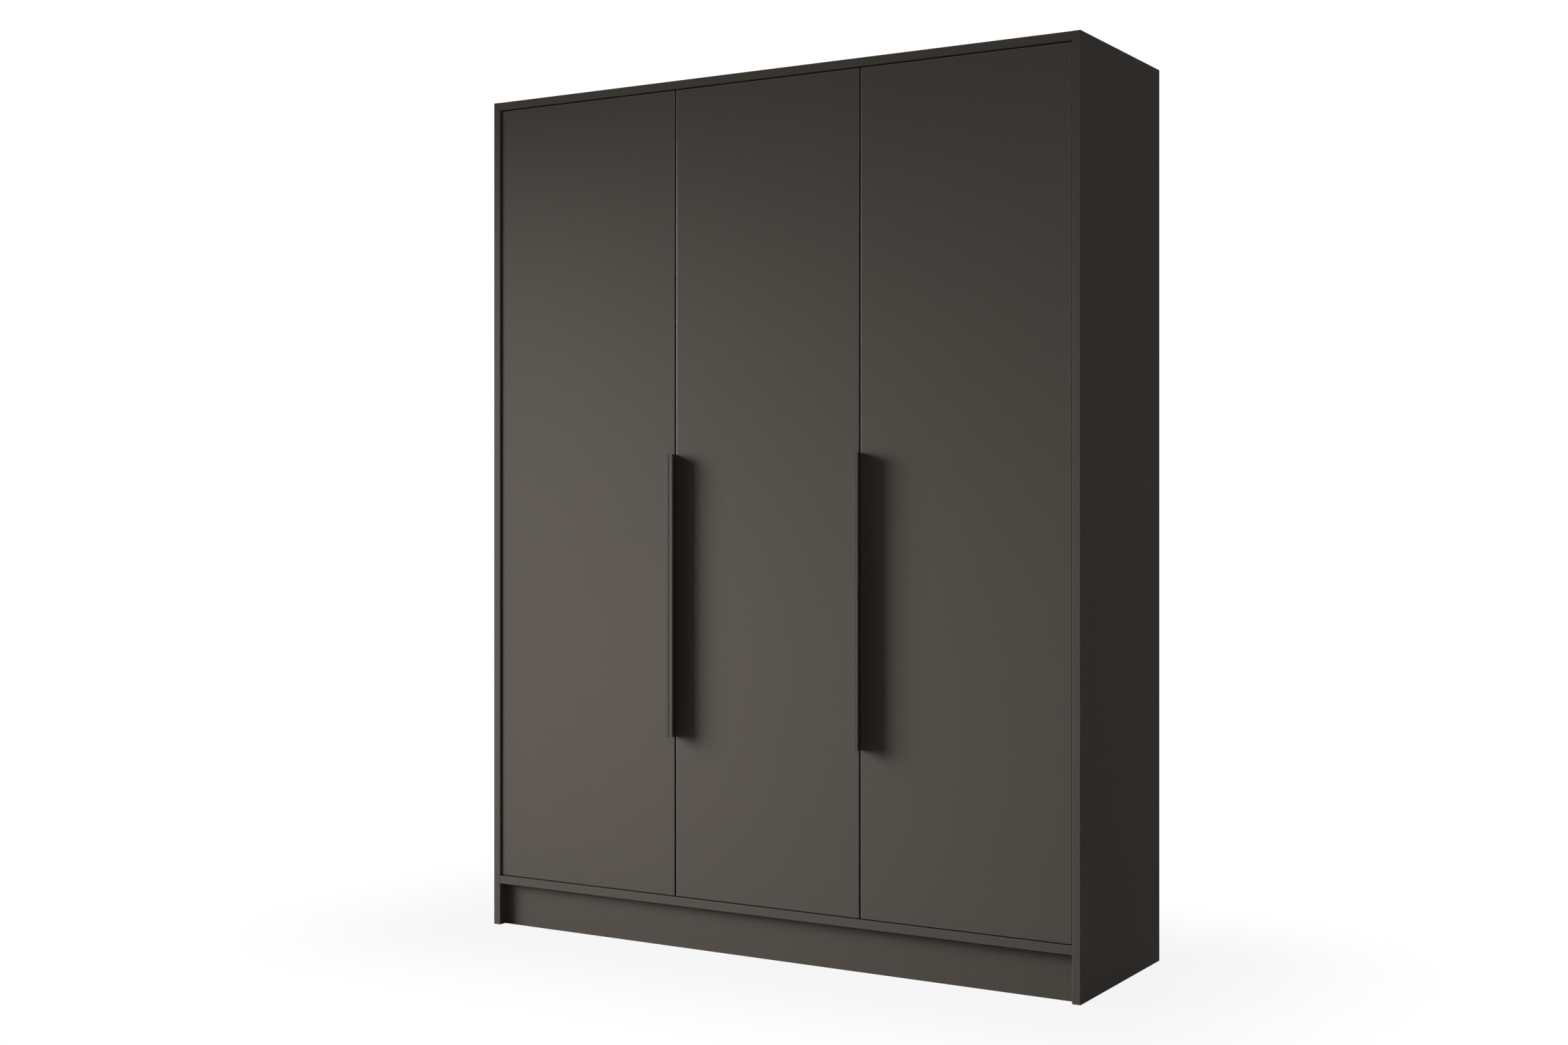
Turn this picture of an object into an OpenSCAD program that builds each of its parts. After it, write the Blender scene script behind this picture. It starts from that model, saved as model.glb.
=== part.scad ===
// Three-door wardrobe in melamine-faced board: a carcass on a recessed plinth, three inset doors
// on concealed cup hinges, and three edge pulls. All sizes are in millimetres. +Z is up, the doors
// face -Y, and the origin is at the middle of the floor under the whole wardrobe.

/* [Carcass] */
// Overall height
height = 2000; // [1850:10:2200]
// Overall width
width = 1530; // [1400:10:1700]
// Depth of the side panels, without the back sheets
depth = 460; // [400:5:600]
// Thickness of every carcass board and shelf
board = 19; // [17:0.5:22]
// Thickness of the back sheets
back_t = 3; // [2.5:0.5:5]
// How far the back sheets stop short of the outer edges
back_inset = 2; // [0:0.5:5]
// Height of the plinth, up to the bottom panel
plinth_h = 100; // [70:5:140]
// How far the plinth stands behind the front
plinth_set = 20; // [10:1:50]
// How far the rear plinth board stands in from the rear edge
plinth_rear_set = 30; // [10:1:80]
// Radius of the carcass boards' banded front edges
band_r = 1; // [0.5:0.25:2]

/* [Doors] */
// Thickness of a door
door_t = 18; // [17:0.5:19]
// From the left outer face to the joint between the left and middle doors
left_pitch = 529; // [470:1:570]
// From the right outer face to the joint between the middle and right doors
right_pitch = 517; // [470:1:570]
// Gap between a door and the carcass round it
door_gap = 2; // [1.75:0.25:4]
// How far the doors stand behind the front edges of the carcass
door_set = 4; // [0:0.5:6]
// Radius of the rounded door edges
arris_r = 2; // [1.5:0.25:3]

/* [Handles] */
// Length of a pull
handle_l = 650; // [300:10:900]
// Height of the lower end of the pulls over the floor
handle_low = 489; // [400:1:600]
// Thickness of the web that passes the door edge, and of the flange behind the door
handle_t = 1.5; // [1:0.1:2]
// Thickness of the front lip
lip_t = 2; // [1.5:0.25:3]
// Width of the front lip
lip_w = 10; // [8:0.5:16]
// How far the lip stands in front of the door
handle_reach = 28; // [18:1:34]
// Width of the flange on the back of the door
flange_w = 18; // [15:1:24]
// Gap between the two pulls that meet at one joint
lip_gap = 1; // [0.8:0.1:2]
// Screws in each pull
handle_screw_n = 4; // [2:1:6]
// From the end of a pull to its first screw
handle_screw_end = 30; // [15:1:60]
// From the edge of a door to the screws of its pull
handle_screw_in = 10; // [8:0.5:12]

/* [Hinges] */
// Hinges on each door
hinge_n = 4; // [3:1:5]
// From the end of a door to the middle of its first hinge
hinge_end = 100; // [85:1:120]
// Diameter of the hinge cup
cup_d = 35; // [34:0.5:36]
// Depth of the hinge cup in the door
cup_depth = 13; // [12.5:0.25:13.5]
// Board left between the cup and the door edge
cup_edge = 4; // [3.5:0.25:5]
// Sheet thickness of the cup and its flange
cup_wall = 0.8; // [0.6:0.1:1]
// Diameter of the hinge pin
pin_d = 2; // [1.6:0.1:2.2]
// Radial play of the arm on the hinge pin
pin_play = 0.05; // [0.02:0.01:0.08]
// Distance of the hinge pin from the door edge
pin_u = 12; // [11.5:0.25:12.5]
// Width of the hinge arm where it enters the cup
arm_w = 15.6; // [13:0.2:16]
// Length of the hinge arm behind its crank
arm_l = 62; // [56:1:75]

/* [Inside] */
// Clear height over the hat shelf
hat_space = 300; // [240:5:380]
// Shelves in the right compartment
shelf_n = 4; // [2:1:5]
// Which of those shelves is fixed, counted from the bottom
fixed_shelf_i = 3; // [1:1:5]
// How far a shelf stands behind the front edge of the partition
shelf_set = 12; // [6:1:40]
// Gap at each end of a loose shelf
shelf_gap = 2; // [1.75:0.25:3]
// Clear gap between the hat shelf and the hanging rail, for the hooks
hook_gap = 40; // [35:1:70]
// Height of the oval hanging rail
rail_h = 30; // [25:1:35]
// Width of the oval hanging rail
rail_w = 15; // [13:0.5:18]
// Wall of the hanging rail
rail_wall = 1; // [0.8:0.1:1.5]
// Distance between the two wall fixings, from the outer faces
wall_fix_in = 110; // [80:5:200]
// Diameter of the hole for the wall screw
wall_hole_d = 6; // [5:0.5:8]

/* [Fittings] */
// Diameter of the cam discs
cam_d = 15; // [14.5:0.25:15.5]
// From a board's end to the middle of its cam disc
cam_reach = 34; // [32:0.5:36]
// Diameter of the wooden dowels
dowel_d = 8; // [7:0.5:8.5]
// Length of the wooden dowels
dowel_l = 30; // [28:1:34]
// Radial play of a fitting in its bore
slip = 0.05; // [0.02:0.01:0.1]
// Largest distance between the nails of the back
nail_pitch = 330; // [250:10:400]

/* [Hidden] */
$fn = 48;
cut = 1; // how far a cutting tool starts outside the face it enters

// --- carcass ---
half_w = width / 2;
handle_proud = handle_reach - door_set;            // the pulls in front of the carcass
front_y = -(depth + back_t - handle_proud) / 2;    // front edges of the carcass
rear_y = front_y + depth;                          // rear edges of the carcass
in_x = half_w - board;                             // inner faces of the side panels
top_z = height - board;                            // underside of the top panel
floor_z = plinth_h + board;                        // upper face of the bottom panel

// --- joints between the doors ---
seam = 2 * handle_t + lip_gap;
seam_left_x = -half_w + left_pitch;
seam_right_x = half_w - right_pitch;
part_x = seam_right_x;                             // middle of the partition

// --- doors ---
door_y = front_y + door_set;                       // front faces of the doors
door_low = floor_z + door_gap;
door_h = top_z - floor_z - 2 * door_gap;
door_mid_z = door_low + door_h / 2;
handle_mid_z = handle_low + handle_l / 2;

// --- hinge, in door co-ordinates: u from the hinge edge into the door, v from its front face ---
cup_u = cup_edge + cup_d / 2;
cup_v = door_t - cup_depth;                        // outside of the cup's floor
cup_spare = 0.3;                                   // air under the cup in its bore
cup_flange_t = 1.2;
cup_rim = 2;                                       // width of the flange round the cup
cup_screw_u = cup_u + 6;                            // screws a little behind the cup's middle
cup_screw_w = 24;                                  // the two screws are 48 mm apart
cup_wing_w = 11;                                   // width of the flange round its screws
knuckle_r = pin_d / 2 + 0.8;
knuckle_gap = 0.4;
pin_v = cup_v + cup_wall + knuckle_gap + knuckle_r;
ear_t = 2;
ear_r = 2.4;
ear_gap = 0.4;
ear_w = arm_w / 2 + ear_gap;                       // inner faces of the cup's two ears
swing_r = norm([pin_u, door_t + cup_flange_t - pin_v]);
arm_t = 2.4;
swing_play = 1.5;                                  // air round the edge of a turning door
crank_v = pin_v + swing_r + swing_play;            // the arm turns back behind the door's swing
hook_u = pin_u + 13.5;                             // the arm leaves the cup here
channel_t = 1.6;                                   // sheet of the arm's channel
channel_play = 0.4;                                // between the channel and the block inside it
plate_t = 2;
plate_wing_w = 14;                                 // width of the plate round its screws
plate_block = 6;                                   // height of the block that carries the arm
block_w = 16;
block_l = 36;
plate_v = crank_v + 34;                            // the screws of the mounting plate
plate_screw_w = 16;
arm_screw_v = plate_v + 8;
hinge_pitch = (door_h - 2 * hinge_end) / (hinge_n - 1);
HINGE_Z = [for (i = [0 : hinge_n - 1]) door_low + hinge_end + i * hinge_pitch];

// Each door: hinge edge, side it is hinged on (1 left, -1 right), width, and the place of the face
// that carries its hinges
DOOR_LEFT = [-in_x + door_gap, 1, left_pitch - board - door_gap - seam / 2, -door_gap];
DOOR_MIDDLE = [seam_right_x - seam / 2, -1, seam_right_x - seam_left_x - seam, board / 2 - seam / 2];
DOOR_RIGHT = [in_x - door_gap, -1, right_pitch - board - door_gap - seam / 2, -door_gap];
DOORS = [DOOR_LEFT, DOOR_MIDDLE, DOOR_RIGHT];

// --- inside ---
part_y = door_y + ceil(pin_v + swing_r + swing_play);     // front edge of the partition, clear of the doors
shelf_y = part_y + shelf_set;
hat_z = top_z - hat_space - board;                 // underside of the hat shelf
bay = (top_z - floor_z - shelf_n * board) / (shelf_n + 1);
SHELF_Z = [for (i = [1 : shelf_n]) floor_z + i * bay + (i - 1) * board];
fixed_i = min(fixed_shelf_i, shelf_n) - 1;
LOOSE = [for (i = [0 : shelf_n - 1]) if (i != fixed_i) i];
left_of_part = part_x - board / 2;
right_of_part = part_x + board / 2;
rail_z = hat_z - hook_gap - rail_h / 2;
rail_y = (part_y + rear_y) / 2;
rail_flange = 2.5;
collar_h = 13;                                     // collar of a rail socket
collar_wall = 2.5;
rail_screw_out = 11;                               // from the rail to the screws of its sockets
flange_end = 8;                                    // flange of a socket past its screws
flange_side = 4.5;

// --- shelf supports ---
peg_d = 5;
peg_depth = 8;
peg_drop = 6;                                      // from the shelf to the peg's hole
peg_row_in = 37;                                   // rows of holes from the shelf's edges
peg_step = 32;
support_w = 9;
support_out = 9;                                   // reach of a support under its shelf
support_tip = 2.5;                                 // thickness of its tongue at the tip
support_root = 7.5;                                // and beside the panel
support_play = 0.5;                                // between its plate and the shelf's end
PEG_Y = [shelf_y + peg_row_in, rear_y - peg_row_in];

// --- cam fittings: local +Z runs into the board that holds the disc, +X towards the disc's face ---
cam_depth = board - 5;                             // housing of the disc
cam_sunk = 0.5;
cam_cross = [3, 1.4, 8];                           // one bar of the cross in its face, cut to half its depth
bolt_d = 5;
bolt_in = 11;
bolt_bore_d = 8;
dowel_in = 10;                                     // part of the dowel in the face of a panel
dowel_step = 32;
dowel_spare = 1;
bolt_neck_r = 1.7;
bolt_head_r = 3;
bolt_collar_r = 3.6;
head_play = 0.2;                                   // round the bolt's neck and head in the disc
RIGHTWARD = [0, 90, 0];                            // board runs to +X, disc on its underside
LEFTWARD = [0, 90, 180];                           // board runs to -X, disc on its underside
DOWNWARD = [180, 0, 0];                            // board runs down, disc on its right face
UPWARD = [0, 0, 0];                                // board runs up, disc on its right face
TO_REAR = [-90, 0, 0];
TO_FRONT = [90, 0, 0];
plinth_y = front_y + plinth_set;                   // front of the plinth
plinth_rear_y = rear_y - plinth_rear_set - board;  // front of the rear plinth board
cam_in = 70;
CASE_Y = [front_y + cam_in, rear_y - cam_in];
CASE_DOWEL_Y = [front_y + cam_in + dowel_step, rear_y - cam_in - dowel_step];
PART_Y = [part_y + cam_in - dowel_step, rear_y - cam_in];
PART_DOWEL_Y = [part_y + cam_in, rear_y - cam_in - dowel_step];
SHELF_CAM_Y = [shelf_y + cam_in, rear_y - cam_in];
SHELF_DOWEL_Y = [shelf_y + cam_in + dowel_step, rear_y - cam_in - dowel_step];
brace_x = (left_of_part - in_x) / 2;               // brace under the middle of the hanging space
BRACE_X = [brace_x, part_x];

function case_ends(ys) = [
    for (y = ys, b = [["top_panel", top_z + board / 2], ["bottom_panel", plinth_h + board / 2]],
         e = [["side_panel_left", -in_x, RIGHTWARD], ["side_panel_right", in_x, LEFTWARD]])
        [[e[1], y, b[1]], e[2], e[0], b[0]]];
function partition_ends(ys) = [
    for (y = ys, b = [["top_panel", top_z, DOWNWARD], ["bottom_panel", floor_z, UPWARD]])
        [[part_x, y, b[1]], b[2], b[0], "partition"]];
function hat_ends(ys) = [
    for (y = ys, e = [["side_panel_left", -in_x, RIGHTWARD], ["partition", left_of_part, LEFTWARD]])
        [[e[1], y, hat_z + board / 2], e[2], e[0], "hat_shelf"]];
function fixed_ends(ys) = [
    for (y = ys, e = [["partition", right_of_part, RIGHTWARD], ["side_panel_right", in_x, LEFTWARD]])
        [[e[1], y, SHELF_Z[fixed_i] + board / 2], e[2], e[0], "fixed_shelf"]];
// The front plinth board has its discs on its rear face, the rear one on its front face
function plinth_ends(z) = [
    for (p = [["plinth_front", plinth_y, 1], ["plinth_rear", plinth_rear_y, -1]],
         e = [["side_panel_left", -in_x, 1], ["side_panel_right", in_x, -1]])
        [[e[1], p[1] + board / 2, z], [90 * e[2] * p[2], 0, 90 * p[2]], e[0], p[0]]];
function brace_ends(zs) = [
    for (z = zs, i = [0, 1],
         e = [["plinth_front", plinth_y + board, TO_REAR], ["plinth_rear", plinth_rear_y, TO_FRONT]])
        [[BRACE_X[i], e[1], z], e[2], e[0], i == 0 ? "plinth_brace_left" : "plinth_brace_right"]];

// Each joint: place, direction, the panel bored in its face, the board bored in its end
CAMS = concat(case_ends(CASE_Y), partition_ends(PART_Y), hat_ends(SHELF_CAM_Y),
              fixed_ends(SHELF_CAM_Y), plinth_ends(plinth_h * 0.65));
DOWELS = concat(case_ends(CASE_DOWEL_Y), partition_ends(PART_DOWEL_Y), hat_ends(SHELF_DOWEL_Y),
                fixed_ends(SHELF_DOWEL_Y), plinth_ends(plinth_h * 0.3),
                brace_ends([plinth_h * 0.3, plinth_h * 0.7]));

// --- back ---
nail_d = 1.5;
nail_l = 18;
nail_head_d = 4;
nail_head_h = 0.8;
nail_end = 30;                                     // from a board's end to its first nail
BACK_Z = [plinth_h + back_inset, height - back_inset];
nail_out = 5;                                      // nails of the two sheets beside the joint
NAIL_Z = [for (n = ceil((top_z - floor_z) / nail_pitch), i = [0 : n])
              floor_z + nail_end + i * (top_z - floor_z - 2 * nail_end) / n];
function nail_xs(x0, x1) = [
    for (n = ceil((x1 - x0) / nail_pitch), i = [1 : n - 1]) x0 + i * (x1 - x0) / n];
// Each nail: x, z, the board it enters
NAILS_LEFT = concat(
    [for (z = NAIL_Z) [-half_w + board / 2, z, "side_panel_left"]],
    [for (z = NAIL_Z) [part_x - nail_out, z, "partition"]],
    [for (x = nail_xs(-half_w, part_x)) [x, top_z + board / 2, "top_panel"]],
    [for (x = nail_xs(-half_w, part_x)) [x, floor_z - board / 2, "bottom_panel"]]);
NAILS_RIGHT = concat(
    [for (z = NAIL_Z) [half_w - board / 2, z, "side_panel_right"]],
    [for (z = NAIL_Z) [part_x + nail_out, z, "partition"]],
    [for (x = nail_xs(part_x, half_w)) [x, top_z + board / 2, "top_panel"]],
    [for (x = nail_xs(part_x, half_w)) [x, floor_z - board / 2, "bottom_panel"]]);

// --- wall brackets, under the rear edge of the top panel ---
bracket_w = 24;
bracket_t = 2;
bracket_leg = 40;
bracket_hole_z = top_z - 26;                       // clear of the nails' points
BRACKET_X = [-half_w + wall_fix_in, half_w - wall_fix_in];
bracket_screw_in = 14;
bracket_screw_step = 16;
BRACKET_SCREW_Y = [rear_y - bracket_screw_in, rear_y - bracket_screw_in - bracket_screw_step];

// --- door stops, under the front of the top panel ---
stop_w = 22;
stop_d = 16;
stop_h = 14;
stop_r = 3;                                        // its rounded corners
pad_t = 1.6;
pad_d = 9;
stop_play = 0.4;                                   // the closed door stops just short of the pad
stop_y = door_y + door_t + stop_play + pad_t;
stop_in = 45;                                      // from the free edge of the door
STOP_X = [for (d = DOORS) d[0] + d[1] * (d[2] - stop_in)];

// --- screws: diameter, length, head diameter, head height ---
CUP_SCREW = [3.5, 13, 7, 1.8];
PLATE_SCREW = [5, 12, 7.4, 2];
ARM_SCREW = [4, 5, 7.2, 2];
HANDLE_SCREW = [3.5, 13, 6.4, 1.8];
RAIL_SCREW = [3.5, 14, 6.6, 1.8];
BRACKET_SCREW = [3.5, 14, 6.6, 1.8];
STOP_SCREW = [3.5, 24, 6.6, 1.8];

GRAPHITE = [0.36, 0.34, 0.32];
HARDBOARD = [0.30, 0.28, 0.26];
ANODISED = [0.33, 0.31, 0.30];
STEEL = [0.72, 0.72, 0.73];
ZINC = [0.62, 0.63, 0.65];
BEECH = [0.80, 0.66, 0.46];
RUBBER = [0.14, 0.14, 0.14];

// ---------------------------------------------------------------- shapes shared by the pieces

// A box from its low corner to its high corner
module box(low, high) {
    translate(low) cube(high - low);
}

// Points of a quarter circle of radius r about c, from one angle anticlockwise
function quarter(c, r, from, steps = 4) = [
    for (i = [0 : steps]) let (a = from + 90 * i / steps) c + r * [cos(a), sin(a)]];

// Points of a rectangle with rounded corners
function rounded_rect(w, t, r) = concat(
    quarter([w - r, t - r], r, 0), quarter([r, t - r], r, 90),
    quarter([r, r], r, 180), quarter([w - r, r], r, 270));

// Section of a board as deep as d: its front edge lies along x = 0 and has rounded corners
function board_section(d) = concat(
    [[d, 0], [d, board]], quarter([band_r, board - band_r], band_r, 90),
    quarter([band_r, band_r], band_r, 180));

// A board that lies flat from x0 to x1, with its front edge at y and its underside at z
module lying_board(x0, x1, y, z) {
    translate([x0, y, z]) rotate([90, 0, 90]) linear_extrude(x1 - x0)
        polygon(board_section(rear_y - y));
}

// A board that stands from z0 to z1, with its front edge at y and its right face at x
module standing_board(x, y, z0, z1) {
    translate([x, y, z0]) rotate(90) linear_extrude(z1 - z0) polygon(board_section(rear_y - y));
}

// A bar with half-round ends, drawn flat: the ends' centres are l apart along Y
module slot_shape(l, d) {
    square([d, l], center = true);
    for (s = [-1, 1]) translate([0, s * l / 2]) circle(d = d);
}

// An upright oval, as high as h and as wide as w
module oval_shape(h, w) {
    slot_shape(h - w, w);
}

// A pan-head screw: the head sits on z = 0 and the shank runs down
module screw(s) {
    d = s[0];
    l = s[1];
    head_r = s[2] / 2;
    head_h = s[3];
    tip = 0.8;
    slot = 0.9;
    difference() {
        rotate_extrude() polygon([
            [0, -l], [d / 2 - tip, -l], [d / 2, -l + 2 * tip], [d / 2, 0], [head_r, 0],
            [head_r, head_h * 0.4], [head_r - head_h * 0.25, head_h * 0.8],
            [head_r - head_h * 0.7, head_h], [0, head_h]]);
        for (a = [0, 90]) rotate(a) translate([0, 0, head_h])
            cube([head_r * 1.1, slot, head_h], center = true);
    }
}

// The bore for a screw's shank, from the face it enters
module screw_bore(s, past = 0) {
    translate([0, 0, -s[1] - past]) cylinder(d = s[0] + 2 * slip, h = s[1] + past + cut);
}

// ---------------------------------------------------------------- places of joints

module at(joint) {
    translate(joint[0]) rotate(joint[1]) children();
}

// Bores in the face of a panel, for cam bolts and dowels
module face_bores(panel) {
    for (j = CAMS) if (j[2] == panel) at(j)
        translate([0, 0, -bolt_in]) cylinder(d = bolt_d, h = bolt_in + cut);
    for (j = DOWELS) if (j[2] == panel) at(j)
        translate([0, 0, -dowel_in]) cylinder(d = dowel_d, h = dowel_in + cut);
}

// Bores in the end of a board, for cam bolts, discs and dowels
module end_bores(panel) {
    for (j = CAMS) if (j[3] == panel) at(j) {
        translate([0, 0, -cut]) cylinder(d = bolt_bore_d, h = cam_reach + cut);
        translate([board / 2 - cam_depth, 0, cam_reach]) rotate([0, 90, 0])
            cylinder(d = cam_d, h = cam_depth + cut);
    }
    for (j = DOWELS) if (j[3] == panel) at(j)
        translate([0, 0, -cut]) cylinder(d = dowel_d, h = dowel_l - dowel_in + dowel_spare + cut);
}

// Bores in the rear edge of a board, for the nails of the back
module nail_bores(panel) {
    for (n = concat(NAILS_LEFT, NAILS_RIGHT)) if (n[2] == panel)
        translate([n[0], rear_y + cut, n[1]]) rotate([90, 0, 0])
            cylinder(d = nail_d + 2 * slip, h = nail_l - back_t + cut);
}

// A place on a door's hinge edge: x runs into the door and y from its front face to the back
module on_door(door, z) {
    translate([door[0], door_y, z]) rotate([0, door[1] > 0 ? 0 : 180, 0]) children();
}

// A screw axis that enters the face behind the hinge: z runs out of that face
module on_hinge_face(door, v, w) {
    translate([door[3], v, w]) rotate([0, 90, 0]) children();
}

// Bores for the mounting plates of one door's hinges
module plate_bores(door) {
    for (z = HINGE_Z, s = [-1, 1]) on_door(door, z)
        on_hinge_face(door, plate_v, s * plate_screw_w) screw_bore(PLATE_SCREW);
}

// The seat of a mounting plate's screw on the plate, and of the arm's screw on its channel
module plate_screw_at(door, s) {
    translate([plate_t, 0, 0]) on_hinge_face(door, plate_v, s * plate_screw_w) children();
}

module arm_screw_at(door) {
    translate([plate_block + channel_t, 0, 0]) on_hinge_face(door, arm_screw_v, 0) children();
}

// A bore axis for the screws of a rail socket: s is 1 at the left end and -1 at the right end
module rail_screw_at(s, up) {
    x = s > 0 ? -in_x : left_of_part;
    translate([x + s * rail_flange, rail_y, rail_z + up * (rail_h / 2 + rail_screw_out)])
        rotate([0, s * 90, 0]) children();
}

// Bores for the shelf supports in one face: s is 1 where the shelves lie to the right of it
module peg_bores(x, s) {
    for (i = LOOSE, y = PEG_Y, k = [-1 : 1])
        translate([x + s * cut, y, SHELF_Z[i] - peg_drop + k * peg_step]) rotate([0, -s * 90, 0])
            cylinder(d = peg_d, h = peg_depth + cut);
}

// ---------------------------------------------------------------- carcass

module side_panel_left() color(GRAPHITE) difference() {
    standing_board(-in_x, front_y, 0, height);
    face_bores("side_panel_left");
    nail_bores("side_panel_left");
    plate_bores(DOOR_LEFT);
    for (up = [-1, 1]) rail_screw_at(1, up) screw_bore(RAIL_SCREW);
}

module side_panel_right() color(GRAPHITE) difference() {
    standing_board(half_w, front_y, 0, height);
    face_bores("side_panel_right");
    nail_bores("side_panel_right");
    plate_bores(DOOR_RIGHT);
    peg_bores(in_x, -1);
}

module top_panel() color(GRAPHITE) difference() {
    lying_board(-in_x, in_x, front_y, top_z);
    end_bores("top_panel");
    face_bores("top_panel");
    nail_bores("top_panel");
    for (x = BRACKET_X, y = BRACKET_SCREW_Y) translate([x, y, top_z - bracket_t])
        rotate([180, 0, 0]) screw_bore(BRACKET_SCREW);
    for (x = STOP_X) stop_screw_at(x) screw_bore(STOP_SCREW);
}

module bottom_panel() color(GRAPHITE) difference() {
    lying_board(-in_x, in_x, front_y, plinth_h);
    end_bores("bottom_panel");
    face_bores("bottom_panel");
    nail_bores("bottom_panel");
}

module partition() color(GRAPHITE) difference() {
    standing_board(right_of_part, part_y, floor_z, top_z);
    end_bores("partition");
    face_bores("partition");
    nail_bores("partition");
    plate_bores(DOOR_MIDDLE);
    for (up = [-1, 1]) rail_screw_at(-1, up) screw_bore(RAIL_SCREW);
    peg_bores(right_of_part, 1);
}

module plinth_board(name, y) color(GRAPHITE) difference() {
    box([-in_x, y, 0], [in_x, y + board, plinth_h]);
    end_bores(name);
    face_bores(name);
}

module plinth_front() plinth_board("plinth_front", plinth_y);

module plinth_rear() plinth_board("plinth_rear", plinth_rear_y);

module plinth_brace(name, x) color(GRAPHITE) difference() {
    box([x - board / 2, plinth_y + board, 0], [x + board / 2, plinth_rear_y, plinth_h]);
    end_bores(name);
}

module plinth_brace_left() plinth_brace("plinth_brace_left", BRACE_X[0]);

module plinth_brace_right() plinth_brace("plinth_brace_right", BRACE_X[1]);

// ---------------------------------------------------------------- back

module back_sheet(x0, x1, nails, bracket_x) color(HARDBOARD) difference() {
    box([x0, rear_y, BACK_Z[0]], [x1, rear_y + back_t, BACK_Z[1]]);
    for (n = nails) translate([n[0], rear_y + back_t + cut, n[1]]) rotate([90, 0, 0]) {
        cylinder(d = nail_d + 2 * slip, h = back_t + 2 * cut);
        cylinder(d = nail_head_d + 2 * slip, h = nail_head_h + cut);
    }
    translate([bracket_x, rear_y - cut, bracket_hole_z]) rotate([-90, 0, 0])
        cylinder(d = wall_hole_d, h = back_t + 2 * cut);
}

module back_sheet_left()
    back_sheet(-half_w + back_inset, part_x, NAILS_LEFT, BRACKET_X[0]);

module back_sheet_right()
    back_sheet(part_x, half_w - back_inset, NAILS_RIGHT, BRACKET_X[1]);

module back_nails() color(STEEL)
    for (n = concat(NAILS_LEFT, NAILS_RIGHT)) translate([n[0], rear_y + back_t, n[1]])
        rotate([90, 0, 0]) rotate_extrude() polygon([
            [0, 0], [nail_head_d / 2, 0], [nail_head_d / 2, nail_head_h],
            [nail_d / 2, nail_head_h], [nail_d / 2, nail_l - nail_d], [0, nail_l - slip]]);

// ---------------------------------------------------------------- shelves and rail

module hat_shelf() color(GRAPHITE) difference() {
    lying_board(-in_x, left_of_part, shelf_y, hat_z);
    end_bores("hat_shelf");
}

module fixed_shelf() color(GRAPHITE) difference() {
    lying_board(right_of_part, in_x, shelf_y, SHELF_Z[fixed_i]);
    end_bores("fixed_shelf");
}

module loose_shelves() color(GRAPHITE)
    for (i = LOOSE) lying_board(right_of_part + shelf_gap, in_x - shelf_gap, shelf_y, SHELF_Z[i]);

// Steel supports: a peg in the panel, a plate on its face and a tongue under the shelf
module shelf_supports() color(STEEL) {
    plate = shelf_gap - support_play;
    low = -peg_drop - support_w / 2;
    for (i = LOOSE, y = PEG_Y, e = [[right_of_part, 0], [in_x, 180]])
        translate([e[0], y, SHELF_Z[i]]) rotate(e[1]) {
            translate([0, 0, -peg_drop]) rotate([0, -90, 0]) cylinder(d = peg_d, h = peg_depth);
            rotate([90, 0, 0]) linear_extrude(support_w, center = true) polygon([
                [0, 0], [0, low], [plate, low], [plate, -support_root],
                [support_out, -support_tip], [support_out, 0]]);
        }
}

// Oval steel tube between the two sockets
module hanging_rail() color(STEEL)
    translate([-in_x + rail_flange, rail_y, rail_z]) rotate([90, 0, 90])
        linear_extrude(left_of_part + in_x - 2 * rail_flange) difference() {
            oval_shape(rail_h, rail_w);
            oval_shape(rail_h - 2 * rail_wall, rail_w - 2 * rail_wall);
        }

module rail_sockets() color(ZINC)
    for (s = [1, -1]) translate([s > 0 ? -in_x : left_of_part, rail_y, rail_z]) rotate([90, 0, s * 90])
        difference() {
            union() {
                linear_extrude(rail_flange) oval_shape(
                    rail_h + 2 * (rail_screw_out + flange_end), rail_w + 2 * flange_side);
                linear_extrude(collar_h)
                    oval_shape(rail_h + 2 * collar_wall, rail_w + 2 * collar_wall);
            }
            translate([0, 0, rail_flange])
                linear_extrude(collar_h) oval_shape(rail_h + 4 * slip, rail_w + 4 * slip);
            for (up = [-1, 1]) translate([0, up * (rail_h / 2 + rail_screw_out), -cut])
                cylinder(d = RAIL_SCREW[0] + 2 * slip, h = rail_flange + 2 * cut);
        }

module rail_screws() color(STEEL)
    for (s = [1, -1], up = [-1, 1]) rail_screw_at(s, up) screw(RAIL_SCREW);

// ---------------------------------------------------------------- cams and dowels

// Where the bolt's shank ends and its head begins and ends, along the bolt
shank_top = cam_reach - cam_d / 2 - head_play;
head_low = cam_reach - 2;
head_top = cam_reach + 2;

// Zinc disc with a slot for the bolt's neck, a pocket for its head and a cross to turn it by
module cam_discs() color(ZINC)
    for (j = CAMS) at(j) difference() {
        translate([board / 2 - cam_depth, 0, cam_reach]) rotate([0, 90, 0])
            cylinder(r = cam_d / 2 - slip, h = cam_depth - cam_sunk);
        translate([0, 0, shank_top])
            cylinder(r = bolt_neck_r + head_play, h = cam_reach - shank_top);
        translate([0, 0, head_low])
            cylinder(r = bolt_head_r + head_play, h = head_top - head_low + head_play);
        for (a = [0, 90]) translate([board / 2 - cam_sunk, 0, cam_reach]) rotate([a, 0, 0])
            cube(cam_cross, center = true);
    }

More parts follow.
